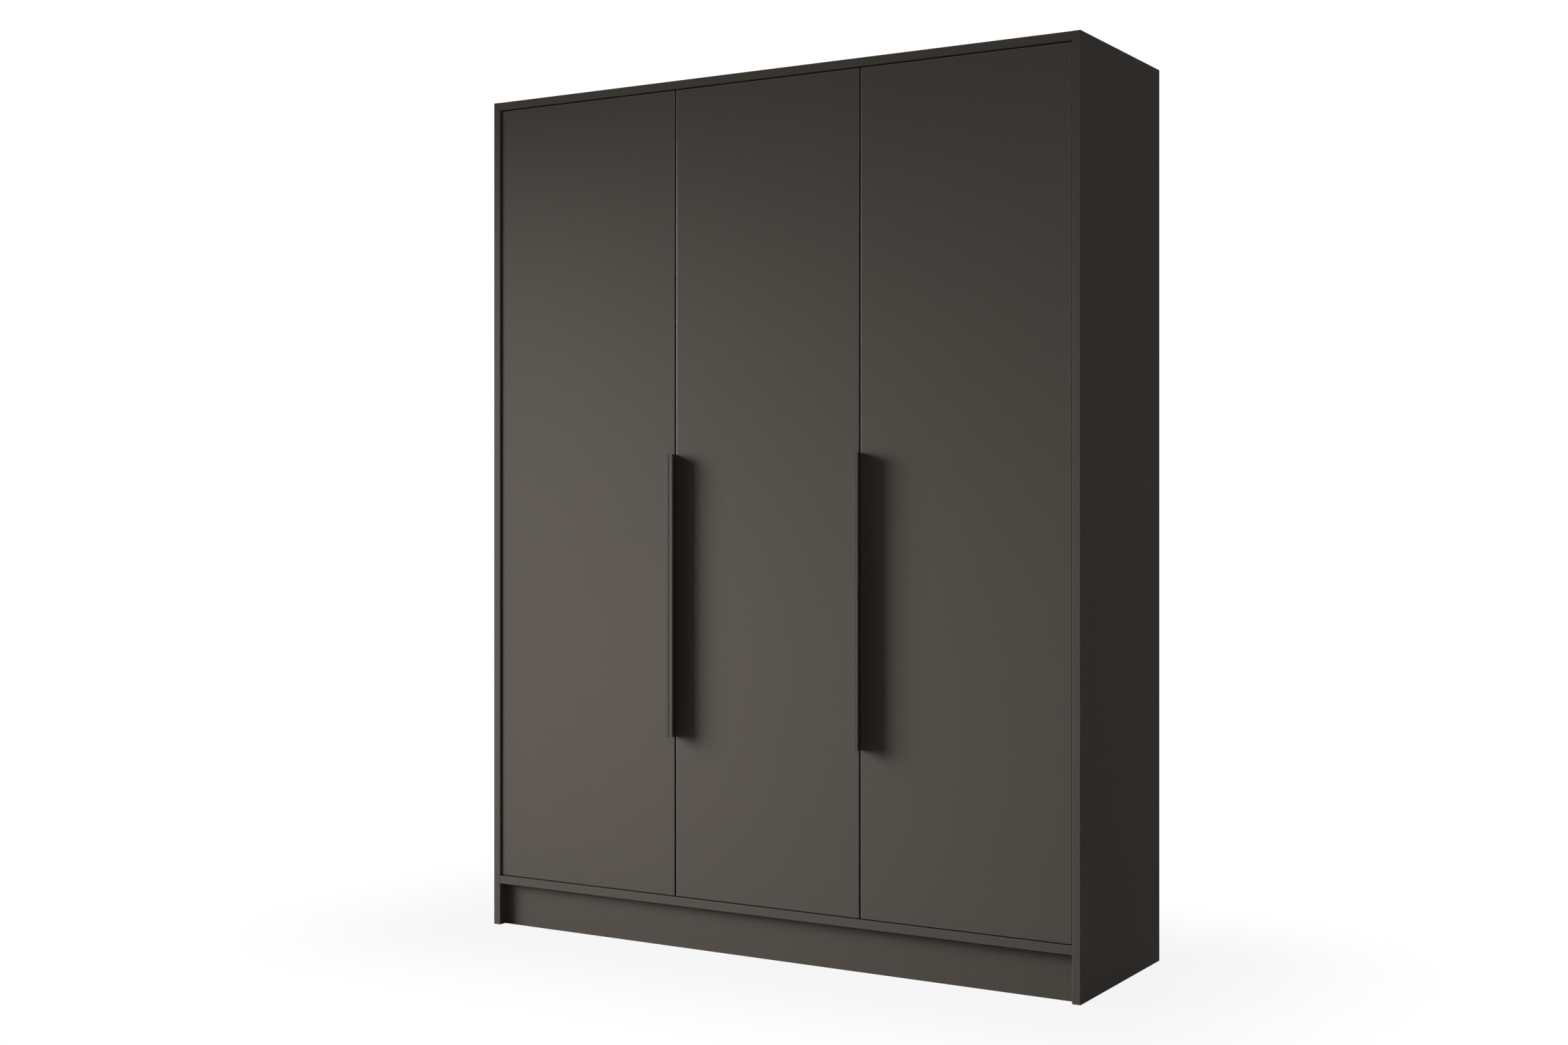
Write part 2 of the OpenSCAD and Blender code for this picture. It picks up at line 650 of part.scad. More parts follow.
module cam_bolts() color(STEEL)
    for (j = CAMS) at(j) rotate_extrude() polygon([
        [0, -bolt_in + 0.5], [bolt_d / 2 - 1, -bolt_in + 0.5], [bolt_d / 2 - slip, -bolt_in + 2],
        [bolt_d / 2 - slip, 0], [bolt_collar_r, 0], [bolt_collar_r, 1.5], [bolt_head_r, 2],
        [bolt_head_r, shank_top - 1], [bolt_neck_r, shank_top], [bolt_neck_r, head_low],
        [bolt_head_r, head_low], [bolt_head_r, head_top - 1], [bolt_head_r - 1, head_top],
        [0, head_top]]);

module dowels() color(BEECH) {
    r = dowel_d / 2 - slip;
    top = dowel_l - dowel_in;
    bevel = 0.8;
    for (j = DOWELS) at(j) rotate_extrude() polygon([
        [0, -dowel_in], [r - bevel, -dowel_in], [r, -dowel_in + bevel],
        [r, top - bevel], [r - bevel, top], [0, top]]);
}

// ---------------------------------------------------------------- wall brackets

// Steel angle: one leg under the top panel, the other on the back sheet with the wall hole
module wall_brackets() color(ZINC)
    for (x = BRACKET_X) difference() {
        union() {
            box([x - bracket_w / 2, rear_y - bracket_leg, top_z - bracket_t],
                [x + bracket_w / 2, rear_y, top_z]);
            box([x - bracket_w / 2, rear_y - bracket_t, top_z - bracket_leg],
                [x + bracket_w / 2, rear_y, top_z]);
        }
        for (y = BRACKET_SCREW_Y) translate([x, y, top_z - bracket_t - cut])
            cylinder(d = BRACKET_SCREW[0] + 2 * slip, h = bracket_t + 2 * cut);
        translate([x, rear_y - bracket_t - cut, bracket_hole_z]) rotate([-90, 0, 0])
            cylinder(d = wall_hole_d, h = bracket_t + 2 * cut);
    }

module wall_bracket_screws() color(STEEL)
    for (x = BRACKET_X, y = BRACKET_SCREW_Y) translate([x, y, top_z - bracket_t])
        rotate([180, 0, 0]) screw(BRACKET_SCREW);

// ---------------------------------------------------------------- door stops

// The screw of a stop enters from below
module stop_screw_at(x) {
    translate([x, stop_y + stop_d / 2, top_z - stop_h]) rotate([180, 0, 0]) children();
}

module door_stops() color(GRAPHITE)
    for (x = STOP_X) difference() {
        translate([x - stop_w / 2, stop_y, top_z - stop_h]) linear_extrude(stop_h)
            polygon(rounded_rect(stop_w, stop_d, stop_r));
        stop_screw_at(x) screw_bore(STOP_SCREW);
    }

module stop_pads() color(RUBBER)
    for (x = STOP_X) translate([x, stop_y, top_z - stop_h / 2]) rotate([90, 0, 0]) {
        cylinder(d = pad_d, h = pad_t / 2);
        cylinder(d1 = pad_d, d2 = pad_d - 2, h = pad_t);
    }

module stop_screws() color(STEEL)
    for (x = STOP_X) stop_screw_at(x) screw(STOP_SCREW);

// ---------------------------------------------------------------- doors

// A door with rounded edges, its cup housings and the pilot bores of its screws
module door_slab(door) color(GRAPHITE) difference() {
    on_door(door, door_mid_z) intersection() {
        translate([0, 0, -door_h / 2]) linear_extrude(door_h)
            polygon(rounded_rect(door[2], door_t, arris_r));
        rotate([90, 0, 90]) linear_extrude(door[2])
            translate([0, -door_h / 2]) polygon(rounded_rect(door_t, door_h, arris_r));
    }
    for (z = HINGE_Z) on_door(door, z) {
        cup_axis() translate([0, 0, -cup_spare])
            cylinder(d = cup_d, h = cup_depth + cup_spare + cut);
        for (s = [-1, 1]) cup_screw_at(s) screw_bore(CUP_SCREW);
    }
    for (i = [0 : handle_screw_n - 1]) handle_screw_at(door, i) screw_bore(HANDLE_SCREW);
}

module door_left() door_slab(DOOR_LEFT);

module door_middle() door_slab(DOOR_MIDDLE);

module door_right() door_slab(DOOR_RIGHT);

// ---------------------------------------------------------------- edge pulls

// Section of a pull: x from the free edge into the door, y from the door's front face to the back.
// The lip is turned over the door's face, the web passes the edge, and the flange lies behind.
module handle_section() {
    r = 0.8;
    lip_y = -handle_reach;
    lip_end = lip_w - handle_t;
    polygon(concat(
        quarter([-handle_t + r, lip_y + r], r, 180),
        quarter([lip_end - r, lip_y + r], r, 270),
        quarter([lip_end - r, lip_y + lip_t - r], r, 0),
        [[0, lip_y + lip_t], [0, door_t], [flange_w, door_t], [flange_w, door_t + handle_t],
         [-handle_t, door_t + handle_t]]));
}

// Place of a screw through the flange, with z out of the back of the door
module handle_screw_at(door, i) {
    pitch = (handle_l - 2 * handle_screw_end) / (handle_screw_n - 1);
    on_door(door, handle_mid_z - handle_l / 2 + handle_screw_end + i * pitch)
        translate([door[2] - handle_screw_in, door_t + handle_t, 0]) rotate([-90, 0, 0]) children();
}

module edge_pull(door) color(ANODISED) difference() {
    on_door(door, handle_mid_z) translate([door[2], 0, 0]) rotate([0, 180, 0])
        translate([0, 0, -handle_l / 2]) linear_extrude(handle_l) handle_section();
    for (i = [0 : handle_screw_n - 1]) handle_screw_at(door, i) screw_bore(HANDLE_SCREW);
}

module handle_left() edge_pull(DOOR_LEFT);

module handle_middle() edge_pull(DOOR_MIDDLE);

module handle_right() edge_pull(DOOR_RIGHT);

module handle_screws(door) color(STEEL)
    for (i = [0 : handle_screw_n - 1]) handle_screw_at(door, i) screw(HANDLE_SCREW);

module handle_screws_left() handle_screws(DOOR_LEFT);

module handle_screws_middle() handle_screws(DOOR_MIDDLE);

module handle_screws_right() handle_screws(DOOR_RIGHT);

// ---------------------------------------------------------------- cup hinges

// The axis of the cup, with z = 0 outside its floor and z towards the back of the door
module cup_axis() {
    translate([cup_u, cup_v, 0]) rotate([-90, 0, 0]) children();
}

module cup_screw_at(s) {
    translate([cup_screw_u, door_t + cup_flange_t, s * cup_screw_w]) rotate([-90, 0, 0]) children();
}

// Drawn steel cup with a screw flange on the door and two ears that hold the pin
module hinge_cup() {
    outer_r = cup_d / 2 - slip;
    inner_r = outer_r - cup_wall;
    difference() {
        cup_axis() {
            cylinder(r = outer_r, h = cup_depth);
            translate([0, 0, cup_depth]) linear_extrude(cup_flange_t) {
                circle(r = cup_d / 2 + cup_rim);
                translate([cup_screw_u - cup_u, 0]) slot_shape(2 * cup_screw_w, cup_wing_w);
            }
        }
        cup_axis() translate([0, 0, cup_wall]) cylinder(r = inner_r, h = cup_depth + cup_flange_t);
        for (s = [-1, 1]) cup_screw_at(s) screw_bore(CUP_SCREW);
    }
    for (s = [-1, 1]) translate([0, 0, s * (ear_w + ear_t / 2)]) difference() {
        union() {
            box([pin_u - ear_r, cup_v + cup_wall, -ear_t / 2], [pin_u + ear_r, pin_v, ear_t / 2]);
            translate([pin_u, pin_v, 0]) cylinder(r = ear_r, h = ear_t, center = true);
        }
        translate([pin_u, pin_v, 0]) cylinder(d = pin_d, h = ear_t + 2 * cut, center = true);
    }
}

module hinge_cups(door) color(ZINC)
    for (z = HINGE_Z) on_door(door, z) hinge_cup();

module hinge_cups_left() hinge_cups(DOOR_LEFT);

module hinge_cups_middle() hinge_cups(DOOR_MIDDLE);

module hinge_cups_right() hinge_cups(DOOR_RIGHT);

module hinge_pins(door) color(STEEL)
    for (z = HINGE_Z) on_door(door, z) translate([pin_u, pin_v, 0])
        cylinder(d = pin_d, h = 2 * (ear_w + ear_t), center = true);

module hinge_pins_left() hinge_pins(DOOR_LEFT);

module hinge_pins_middle() hinge_pins(DOOR_MIDDLE);

module hinge_pins_right() hinge_pins(DOOR_RIGHT);

module cup_screws(door) color(STEEL)
    for (z = HINGE_Z, s = [-1, 1]) on_door(door, z) cup_screw_at(s) screw(CUP_SCREW);

module cup_screws_left() cup_screws(DOOR_LEFT);

module cup_screws_middle() cup_screws(DOOR_MIDDLE);

module cup_screws_right() cup_screws(DOOR_RIGHT);

// Hooked arm, bent from one strip: a knuckle on the pin, a bar inside the cup, a leg out of the cup
// and a crank behind the door's swing. Its channel straddles the block of the mounting plate.
module hinge_arm(door) {
    face = door[3];
    web_u = face + plate_block;
    in_w = block_w / 2 + channel_play;
    out_w = in_w + channel_t;
    bar_v = pin_v + arm_t / 2;
    difference() {
        union() {
            translate([pin_u, pin_v, 0]) cylinder(r = knuckle_r, h = arm_w, center = true);
            linear_extrude(arm_w, center = true) polygon(concat(
                [[pin_u, bar_v], [pin_u, bar_v - arm_t]], quarter([hook_u, bar_v], arm_t, 270),
                quarter([hook_u, crank_v], arm_t, 0),
                [[web_u, crank_v + arm_t], [web_u, crank_v], [hook_u, crank_v], [hook_u, bar_v]]));
            difference() {
                box([face + plate_t, crank_v, -out_w], [web_u + channel_t, crank_v + arm_l, out_w]);
                box([face, crank_v + arm_t, -in_w], [web_u, crank_v + arm_l + cut, in_w]);
            }
        }
        translate([pin_u, pin_v, 0])
            cylinder(d = pin_d + 2 * pin_play, h = arm_w + 2 * cut, center = true);
        arm_screw_at(door) screw_bore(ARM_SCREW);
    }
}

module hinge_arms(door) color(STEEL)
    for (z = HINGE_Z) on_door(door, z) hinge_arm(door);

module hinge_arms_left() hinge_arms(DOOR_LEFT);

module hinge_arms_middle() hinge_arms(DOOR_MIDDLE);

module hinge_arms_right() hinge_arms(DOOR_RIGHT);

// Cross-shaped mounting plate with a block for the arm
module hinge_plates() color(ZINC)
    for (d = DOORS, z = HINGE_Z) on_door(d, z) difference() {
        union() {
            translate([d[3], plate_v, 0]) rotate([90, 0, 90]) linear_extrude(plate_t)
                slot_shape(2 * plate_screw_w, plate_wing_w);
            box([d[3], plate_v - block_l / 2, -block_w / 2],
                [d[3] + plate_block, plate_v + block_l / 2, block_w / 2]);
        }
        for (s = [-1, 1]) plate_screw_at(d, s) screw_bore(PLATE_SCREW);
        arm_screw_at(d) screw_bore(ARM_SCREW);
    }

module hinge_plate_screws() color(STEEL)
    for (d = DOORS, z = HINGE_Z, s = [-1, 1]) on_door(d, z) plate_screw_at(d, s) screw(PLATE_SCREW);

module hinge_arm_screws() color(STEEL)
    for (d = DOORS, z = HINGE_Z) on_door(d, z) arm_screw_at(d) screw(ARM_SCREW);

side_panel_left();
side_panel_right();
top_panel();
bottom_panel();
partition();
plinth_front();
plinth_rear();
plinth_brace_left();
plinth_brace_right();
back_sheet_left();
back_sheet_right();
back_nails();
hat_shelf();
fixed_shelf();
loose_shelves();
shelf_supports();
hanging_rail();
rail_sockets();
rail_screws();
cam_discs();
cam_bolts();
dowels();
wall_brackets();
wall_bracket_screws();
door_stops();
stop_pads();
stop_screws();
door_left();
door_middle();
door_right();
handle_left();
handle_middle();
handle_right();
handle_screws_left();
handle_screws_middle();
handle_screws_right();
hinge_cups_left();
hinge_cups_middle();
hinge_cups_right();
hinge_pins_left();
hinge_pins_middle();
hinge_pins_right();
cup_screws_left();
cup_screws_middle();
cup_screws_right();
hinge_arms_left();
hinge_arms_middle();
hinge_arms_right();
hinge_plates();
hinge_plate_screws();
hinge_arm_screws();
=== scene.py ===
"""A graphite three-door wardrobe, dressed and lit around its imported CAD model.

The sections follow the wardrobe as it is put together: carcass, back, fittings, inside, stops,
wall brackets, doors, hinges and pulls. The camera comes before them and the studio after.
"""

from math import radians

import bpy
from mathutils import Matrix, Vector


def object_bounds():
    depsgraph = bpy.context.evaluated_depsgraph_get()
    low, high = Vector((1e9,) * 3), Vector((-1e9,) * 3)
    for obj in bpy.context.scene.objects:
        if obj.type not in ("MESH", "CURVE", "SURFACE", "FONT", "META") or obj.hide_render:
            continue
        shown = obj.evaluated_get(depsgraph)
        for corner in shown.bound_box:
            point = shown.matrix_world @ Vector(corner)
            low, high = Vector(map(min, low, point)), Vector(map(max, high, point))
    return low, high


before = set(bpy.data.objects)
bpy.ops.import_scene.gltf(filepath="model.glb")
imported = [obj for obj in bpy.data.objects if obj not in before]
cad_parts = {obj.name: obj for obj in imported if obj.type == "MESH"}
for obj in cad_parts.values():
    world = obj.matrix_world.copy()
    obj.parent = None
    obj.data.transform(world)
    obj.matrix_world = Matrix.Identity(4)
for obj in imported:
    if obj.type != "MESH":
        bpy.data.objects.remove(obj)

cad_low, cad_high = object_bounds()
scene = bpy.context.scene
scene.view_settings.view_transform = "Standard"


# ---------------------------------------------------------------- camera
# A level camera stands off the front right corner, a little over a metre from the floor, and
# looks towards the back left. The picture's middle lies a little below the axis of its lens.

camera_place = Vector((2.354, -4.0745, 1.051))
camera_aim = Vector((-0.5117, 0.8591, 0.0))
camera_data = bpy.data.cameras.new("camera")
camera_data.sensor_width = 36.0
camera_data.lens = 46.22
camera_data.shift_y = -0.0190
camera = bpy.data.objects.new("camera", camera_data)
camera.location = camera_place
camera.rotation_euler = camera_aim.to_track_quat("-Z", "Y").to_euler()
scene.collection.objects.link(camera)
scene.camera = camera


# ---------------------------------------------------------------- carcass boards
# Sides, top, bottom, partition, plinth and shelves are 19 mm particle board with a matt graphite
# melamine facing. Their narrow edges carry a glued plastic band, a shade darker and smoother
# than the pearl texture pressed into the faces. The plinth's colour is made a little darker as
# painted shade for its recess under the bottom panel.


class Reading:
    """One value or colour in a finish. Sums written with it become Math nodes."""

    def __init__(self, finish, socket):
        self.finish = finish
        self.socket = socket

    def sum(self, operation, first, second):
        return self.finish.node("ShaderNodeMath", {"operation": operation}, {0: first, 1: second})

    def __add__(self, other):
        return self.sum("ADD", self, other)

    def __sub__(self, other):
        return self.sum("SUBTRACT", self, other)

    def __rsub__(self, other):
        return self.sum("SUBTRACT", other, self)

    def __mul__(self, other):
        return self.sum("MULTIPLY", self, other)

    def __abs__(self):
        return self.sum("ABSOLUTE", self, 0.0)

    def __gt__(self, other):
        return self.sum("GREATER_THAN", self, other)

    __radd__ = __add__
    __rmul__ = __mul__


class Finish:
    """The node tree of one finish; each piece of it comes from node()."""

    def __init__(self, name=None, tree=None):
        if tree is None:
            self.material = bpy.data.materials.new(name)
            self.material.use_nodes = True
            tree = self.material.node_tree
        self.tree = tree
        tree.nodes.clear()

    def node(self, kind, settings=None, inputs=None, out=0):
        """A new node: its settings come first, then its sockets, each a value or a link."""
        made = self.tree.nodes.new(kind)
        for setting, value in (settings or {}).items():
            setattr(made, setting, value)
        for name, value in (inputs or {}).items():
            if isinstance(value, Reading):
                self.tree.links.new(value.socket, made.inputs[name])
            else:
                made.inputs[name].default_value = value
        return Reading(self, made.outputs[out])

    def place(self):
        """Where a point lies on the wardrobe, in metres."""
        return self.node("ShaderNodeTexCoord", out="Object")

    def facing(self, axis):
        """How far a surface looks along one of the wardrobe's axes, from -1 to 1."""
        normal = self.node("ShaderNodeTexCoord", out="Normal")
        return self.node("ShaderNodeSeparateXYZ", None, {0: normal}, "XYZ".index(axis))

    def vector(self, operation, *inputs, out=0):
        return self.node("ShaderNodeVectorMath", {"operation": operation},
                         dict(enumerate(inputs)), out)

    def noise(self, per_metre, detail=2.0, rough=0.5):
        """Noise with so many patches to the metre, or so many along X, Y and Z."""
        if isinstance(per_metre, (int, float)):
            per_metre = (per_metre,) * 3
        spread = self.vector("MULTIPLY", self.place(), per_metre)
        return self.node("ShaderNodeTexNoise", None,
                         {"Vector": spread, "Scale": 1.0, "Detail": detail, "Roughness": rough})

    def showing(self):
        """1 for the rays that see the surround: straight, in a reflection or through glass."""
        rays = [self.node("ShaderNodeLightPath", out=ray)
                for ray in ("Is Camera Ray", "Is Glossy Ray", "Is Transmission Ray")]
        return rays[0] + rays[1] + rays[2]

    def between(self, share, first, second):
        """A mix of two colours. The Mix node's colour sockets are known by number only."""
        share_in, first_in, second_in, colour_out = 0, 6, 7, 2
        return self.node("ShaderNodeMix", {"data_type": "RGBA", "clamp_factor": True},
                         {share_in: share, first_in: first, second_in: second}, colour_out)

    def relief(self, height, depth):
        """The bumps of a texture whose heights, from 0 to 1, stand for a depth in metres."""
        return self.node("ShaderNodeBump", None,
                         {"Height": height, "Distance": depth, "Strength": 1.0})

    def surface(self, **sockets):
        """The closing shader; underscores stand for the spaces in its sockets' names."""
        named = {name.replace("_", " "): value for name, value in sockets.items()}
        self.ends_in(self.node("ShaderNodeBsdfPrincipled", None, named))
        return self

    def ends_in(self, shader):
        output = self.tree.nodes.new("ShaderNodeOutputMaterial")
        self.tree.links.new(shader.socket, output.inputs["Surface"])

    def on(self, *nodes):
        """Puts the finish on CAD nodes."""
        for name in nodes:
            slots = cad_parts[name].data.materials
            slots.clear()
            slots.append(self.material)


def tone(red, green, blue):
    """A colour written as on a paint card, 0 to 255, in the linear form that shaders use."""
    def linear(part):
        part /= 255
        return part / 12.92 if part <= 0.04045 else ((part + 0.055) / 1.055) ** 2.4
    return (linear(red), linear(green), linear(blue), 1.0)


def shaded(colour, share):
    return tuple(part * share for part in colour[:3]) + (1.0,)


GRAPHITE = tone(84, 79, 74)


def melamine(name, thin_axis, colour=GRAPHITE, face_roughness=0.58, arris_gloss=0.0):
    """Faced board whose banded edges are the faces that don't look along its thin axis.

    arris_gloss is how much of a clear gloss lies on arrises rounded under the facing."""
    board = Finish(name)
    cloud = board.noise(2.4)
    pearl = board.noise(1500.0, detail=3.0)
    fleck = board.noise(280.0, detail=2.0)
    share = 0.5 + (cloud - 0.5) * 0.35 + (pearl - 0.5) * 0.4 + (fleck - 0.5) * 1.1
    facing = board.between(share, shaded(colour, 0.92), shaded(colour, 1.08))
    flatness = abs(board.facing(thin_axis))
    band = 1 - (flatness > 0.5)
    # Between a board's edge, near 0, and its face, at 1, lies the rounded arris.
    gloss = (flatness > 0.2) * (1 - (flatness > 0.995)) * arris_gloss if arris_gloss else 0.0
    base = board.between(band, facing, shaded(colour, 0.97))
    roughness = face_roughness + (pearl - 0.5) * 0.10 - band * 0.08
    height = (pearl * 0.7 + fleck * 0.3) * (1 - band * 0.7)
    return board.surface(Base_Color=base, Roughness=roughness, Specular_IOR_Level=0.022,
                         Coat_Weight=gloss, Coat_Roughness=0.28,
                         Normal=board.relief(height, depth=0.00006))


melamine("melamine_sides", "X").on(
    "side_panel_left", "side_panel_right", "partition", "plinth_brace_left", "plinth_brace_right")
melamine("melamine_shelves", "Z").on(
    "top_panel", "bottom_panel", "hat_shelf", "fixed_shelf", "loose_shelves")
# Painted shade: the plinth's colour is darkened to stand for the shade under the bottom panel.
melamine("melamine_plinth_painted_shade", "Y", colour=shaded(GRAPHITE, 0.92)).on("plinth_front", "plinth_rear")


# ---------------------------------------------------------------- back sheets and nails
# The back is two sheets of 3 mm hardboard, lacquered graphite on the side that closes the
# cupboard and raw brown fibre behind. Zinc-plated steel nails hold them to the boards' edges.

hardboard = Finish("hardboard")
fibres = hardboard.noise((900.0, 900.0, 380.0), detail=4.0, rough=0.65)
blotches = hardboard.noise(14.0, detail=3.0)
specks = hardboard.noise(230.0, detail=1.0) > 0.68
raw = hardboard.between(0.5 + (fibres - 0.5) * 1.1 + (blotches - 0.5) * 0.7,
                        tone(112, 84, 58), tone(150, 119, 86))
raw = hardboard.between(specks * 0.45, raw, tone(84, 60, 40))
lacquer = hardboard.between(0.5 + (blotches - 0.5) * 0.4,
                            shaded(GRAPHITE, 0.93), shaded(GRAPHITE, 1.03))
inside = hardboard.facing("Y") * -1.0 > 0.5
hardboard.surface(
    Base_Color=hardboard.between(inside, raw, lacquer),
    Roughness=0.72 - inside * 0.16 + (fibres - 0.5) * 0.12,
    Specular_IOR_Level=0.25,
    Normal=hardboard.relief(fibres * (1 - inside * 0.7), depth=0.00009),
).on("back_sheet_left", "back_sheet_right")

plated = Finish("zinc_plated_steel")
tarnish = plated.noise(60.0, detail=3.0)
scratches = plated.noise((1800.0, 1800.0, 240.0), detail=2.0)
plated.surface(
    Base_Color=plated.between(tarnish, tone(176, 178, 180), tone(206, 206, 202)),
    Metallic=1.0,
    Roughness=0.30 + (tarnish - 0.5) * 0.16 + (scratches - 0.5) * 0.10,
    Normal=plated.relief(scratches, depth=0.00002),
).on("back_nails")


# ---------------------------------------------------------------- knock-down fittings
# Die-cast zinc cam discs turn in blind bores and pull on the zinc-plated bolts. Beech dowels
# beside them keep the boards in line.

cast = Finish("die_cast_zinc")
cast_grain = cast.noise(1100.0, detail=3.0)
cast_cloud = cast.noise(90.0)
cast.surface(
    Base_Color=cast.between(cast_cloud, tone(140, 141, 143), tone(170, 170, 170)),
    Metallic=1.0,
    Roughness=0.42 + (cast_grain - 0.5) * 0.2,
    Normal=cast.relief(cast_grain, depth=0.00005),
).on("cam_discs")
plated.on("cam_bolts")

beech = Finish("beech")
beech_grain = beech.noise((700.0, 60.0, 700.0), detail=4.0, rough=0.6)
beech.surface(
    Base_Color=beech.between(beech_grain, tone(176, 138, 98), tone(214, 182, 140)),
    Roughness=0.66 + (beech_grain - 0.5) * 0.2,
    Normal=beech.relief(beech_grain, depth=0.0001),
).on("dowels")


# ---------------------------------------------------------------- rail and shelf supports
# The hanging rail is an oval steel tube, chromed after it is drawn, in two nickel-plated sockets
# that are screwed to the boards. The loose shelves lie on nickel-plated supports.

chrome = Finish("chromed_tube")
drawn_lines = chrome.noise((5.0, 2600.0, 2600.0), detail=2.0)
chrome.surface(
    Base_Color=chrome.between(drawn_lines, tone(196, 197, 198), tone(218, 218, 216)),
    Metallic=1.0,
    Roughness=0.13 + (drawn_lines - 0.5) * 0.08,
    Normal=chrome.relief(drawn_lines, depth=0.00001),
).on("hanging_rail")

nickel = Finish("nickel_plate")
nickel_cloud = nickel.noise(75.0, detail=3.0)
press_marks = nickel.noise((900.0, 240.0, 900.0), detail=2.0)
nickel.surface(
    Base_Color=nickel.between(nickel_cloud, tone(184, 180, 172), tone(208, 203, 194)),
    Metallic=1.0,
    Roughness=0.22 + (nickel_cloud - 0.5) * 0.12 + (press_marks - 0.5) * 0.08,
    Normal=nickel.relief(press_marks, depth=0.00002),
).on("rail_sockets", "shelf_supports")
plated.on("rail_screws")


# ---------------------------------------------------------------- door stops
# Moulded plastic blocks are screwed under the front of the top panel. Each carries a soft rubber
# pad that the closing door meets.

moulded = Finish("moulded_plastic")
spark = moulded.noise(1300.0, detail=2.0)
moulded.surface(
    Base_Color=moulded.between(spark, shaded(GRAPHITE, 0.62), shaded(GRAPHITE, 0.72)),
    Roughness=0.5 + (spark - 0.5) * 0.14,
    Specular_IOR_Level=0.35,
    Normal=moulded.relief(spark, depth=0.00004),
).on("door_stops")

rubber = Finish("soft_rubber")
bloom = rubber.noise(500.0, detail=3.0)
rubber.surface(
    Base_Color=rubber.between(bloom, tone(26, 26, 27), tone(40, 40, 41)),
    Roughness=0.78 + (bloom - 0.5) * 0.16,
    Specular_IOR_Level=0.25,
    Normal=rubber.relief(bloom, depth=0.00005),
).on("stop_pads")
plated.on("stop_screws")


# ---------------------------------------------------------------- wall brackets
# Two bent steel angles, zinc-plated, are screwed under the rear edge of the top panel. A screw
# through the back and each of them ties the wardrobe to the wall.

plated.on("wall_brackets", "wall_bracket_screws")


# ---------------------------------------------------------------- doors
# Three slabs of 18 mm board with the same facing, their edges rounded under it, so that the
# rounding catches the light beside each joint.

DOORS = ("left", "middle", "right")
melamine("door_facing", "Y", face_roughness=0.56, arris_gloss=0.6).on(
    *(f"door_{door}" for door in DOORS))


# ---------------------------------------------------------------- hinges
# Four concealed hinges carry each door: a drawn cup in the door's back, a pin through its ears,
# and a cranked arm on a mounting plate. They are nickel-plated steel, and their screws zinc-plated.

nickel.on("hinge_plates", *(f"hinge_{part}_{door}" for part in ("cups", "pins", "arms")
                            for door in DOORS))
plated.on("hinge_plate_screws", "hinge_arm_screws", *(f"cup_screws_{door}" for door in DOORS))


# ---------------------------------------------------------------- pulls
# An extruded aluminium angle is screwed behind each door's free edge and turns over its face.
# Its powder coat is a darker graphite than the doors, with the fine orange peel of sprayed powder.

powder = Finish("powder_coat")
peel = powder.noise(620.0, detail=2.0, rough=0.4)
extrusion = powder.noise((1500.0, 1500.0, 4.0), detail=1.0)
powder.surface(
    Base_Color=powder.between(0.5 + (peel - 0.5) * 0.6,
                              shaded(GRAPHITE, 0.70), shaded(GRAPHITE, 0.76)),
    Roughness=0.46 + (peel - 0.5) * 0.12,
    Specular_IOR_Level=0.08,
    Normal=powder.relief(peel * 0.8 + extrusion * 0.2, depth=0.00005),
).on(*(f"handle_{door}" for door in DOORS))
plated.on(*(f"handle_screws_{door}" for door in DOORS))


# ---------------------------------------------------------------- studio
# A pale floor in a white surround. A tall soft lamp with a grid stands on the left and rakes
# across the doors. Two weak lamps in front soften its shadows, one lights the right side, and a
# broad high one lights back and top.

half_side = 14.0
floor_mesh = bpy.data.meshes.new("floor")
corners = [(-half_side, -half_side, 0.0), (half_side, -half_side, 0.0),
           (half_side, half_side, 0.0), (-half_side, half_side, 0.0)]
floor_mesh.from_pydata(corners, [], [(0, 1, 2, 3)])
floor = bpy.data.objects.new("floor", floor_mesh)
scene.collection.objects.link(floor)

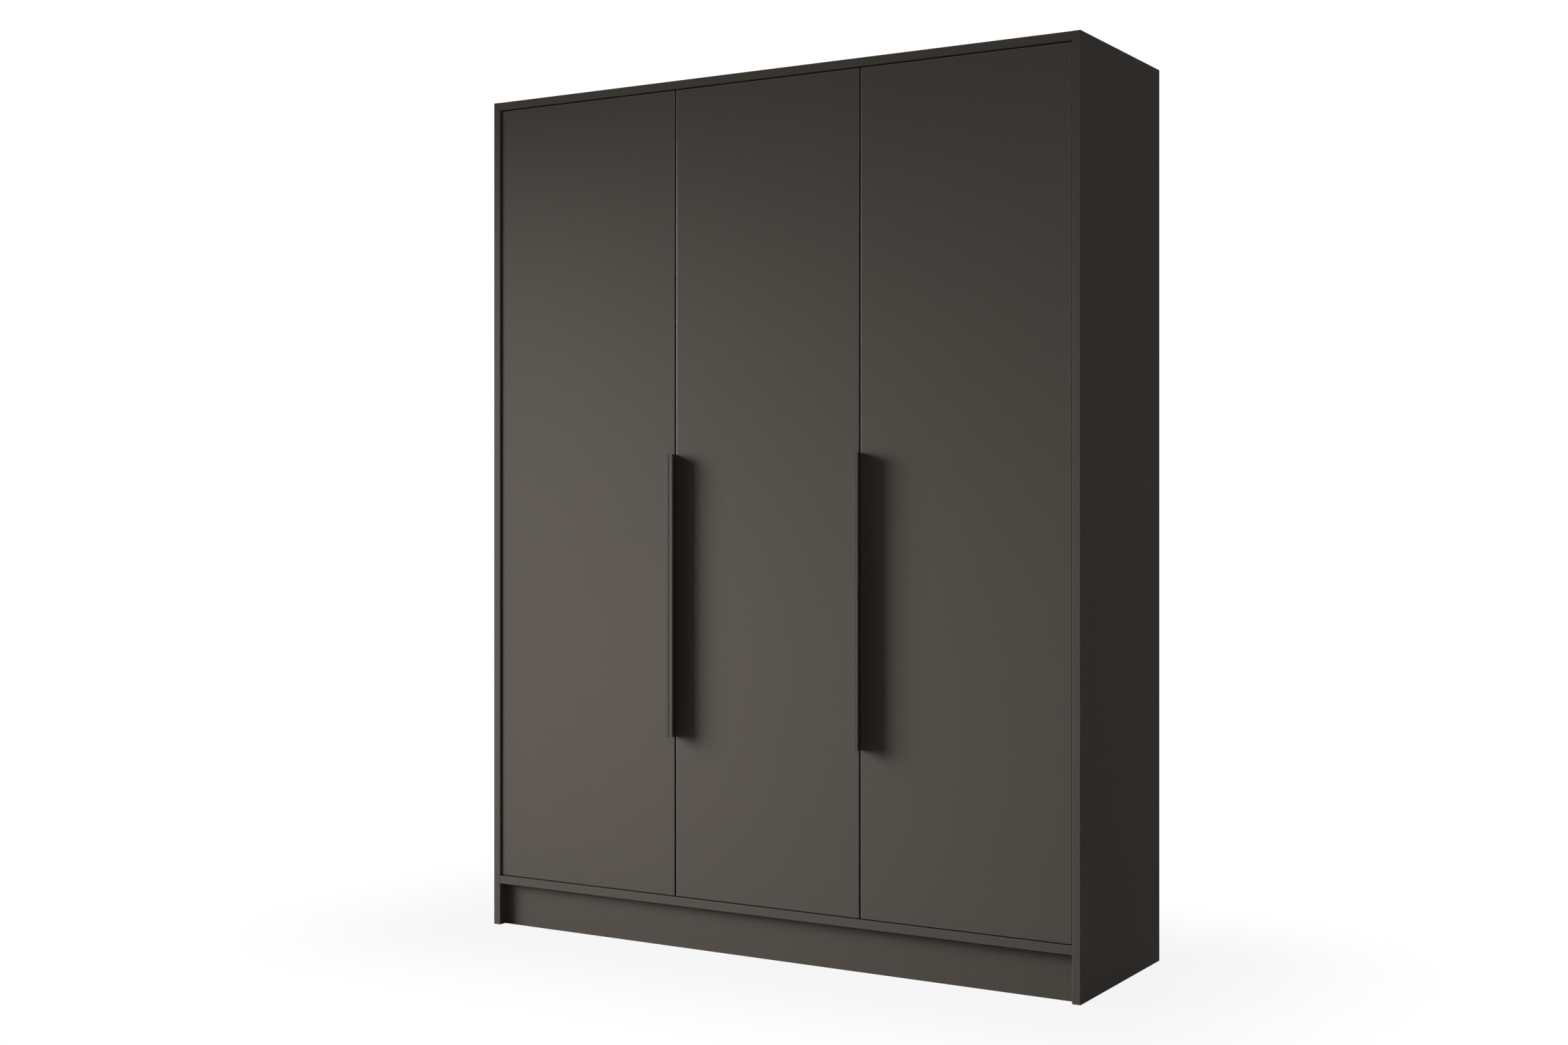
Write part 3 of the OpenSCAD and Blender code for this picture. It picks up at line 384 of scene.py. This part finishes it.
# At the wardrobe's foot a tenth of the plain grey floor shows, with the shadow that falls on it.
# From there the floor fades into the white surround.
WHITE_AT_FOOT = 0.9
FADE_WIDTH = 0.7
pale = Finish("pale_floor")
plain = pale.node("ShaderNodeBsdfDiffuse", None, {"Color": tone(135, 135, 133)})
white = pale.node("ShaderNodeEmission", None, {"Color": (1.0, 1.0, 1.0, 1.0), "Strength": 1.0})
half_footprint = ((cad_high[0] - cad_low[0]) / 2, (cad_high[1] - cad_low[1]) / 2, 0.0)
past_sides = pale.vector("SUBTRACT", pale.vector("ABSOLUTE", pale.place()), half_footprint)
distance = pale.vector("LENGTH", pale.vector("MAXIMUM", past_sides, (0.0, 0.0, 0.0)), out=1)
white_share = pale.node("ShaderNodeMapRange", {"interpolation_type": "SMOOTHSTEP"},
                        {"Value": distance, "From Min": 0.0, "From Max": FADE_WIDTH,
                         "To Min": WHITE_AT_FOOT, "To Max": 1.0})
shown = pale.showing() * white_share
pale.ends_in(pale.node("ShaderNodeMixShader", None, {0: shown, 1: plain, 2: white}))
floor_mesh.materials.append(pale.material)

world = bpy.data.worlds.new("surround")
scene.world = world
world.use_nodes = True
surround = Finish(tree=world.node_tree)
WORLD_LEVEL = 0.02
level = WORLD_LEVEL + surround.showing() * (1.0 - WORLD_LEVEL)
sky = surround.node("ShaderNodeBackground", None,
                    {"Color": (1.0, 1.0, 1.0, 1.0), "Strength": level})
sky_out = surround.tree.nodes.new("ShaderNodeOutputWorld")
surround.tree.links.new(sky.socket, sky_out.inputs["Surface"])


def soft_lamp(name, place, aim, width, height, power, spread=180.0):
    """A rectangular soft lamp; a spread under 180 degrees is the grid on its front."""
    data = bpy.data.lights.new(name, "AREA")
    data.shape = "RECTANGLE"
    data.size, data.size_y = width, height
    data.energy = power
    data.spread = radians(spread)
    lamp = bpy.data.objects.new(name, data)
    lamp.location = place
    lamp.rotation_euler = (Vector(aim) - Vector(place)).to_track_quat("-Z", "Y").to_euler()
    lamp.visible_camera = False
    scene.collection.objects.link(lamp)


soft_lamp("key_lamp", place=(-2.5, -1.24, 1.12), aim=(0.95, -0.22, 0.26),
          width=1.0, height=2.12, power=30.6, spread=56.0)
soft_lamp("front_lamp", place=(-5.0, -4.6, 1.8), aim=(0.0, -0.2, 1.1),
          width=3.0, height=2.5, power=30.0)
soft_lamp("right_lamp", place=(1.5, -2.6, 2.1), aim=(0.75, -0.2, 1.3),
          width=0.5, height=1.8, power=11.2)
soft_lamp("side_lamp", place=(4.2, 0.9, 1.3), aim=(0.765, 0.0, 1.0),
          width=1.4, height=1.8, power=6.8)
soft_lamp("back_lamp", place=(-0.3, 3.6, 3.8), aim=(0.0, 0.2, 1.2),
          width=1.9, height=1.6, power=120.0)
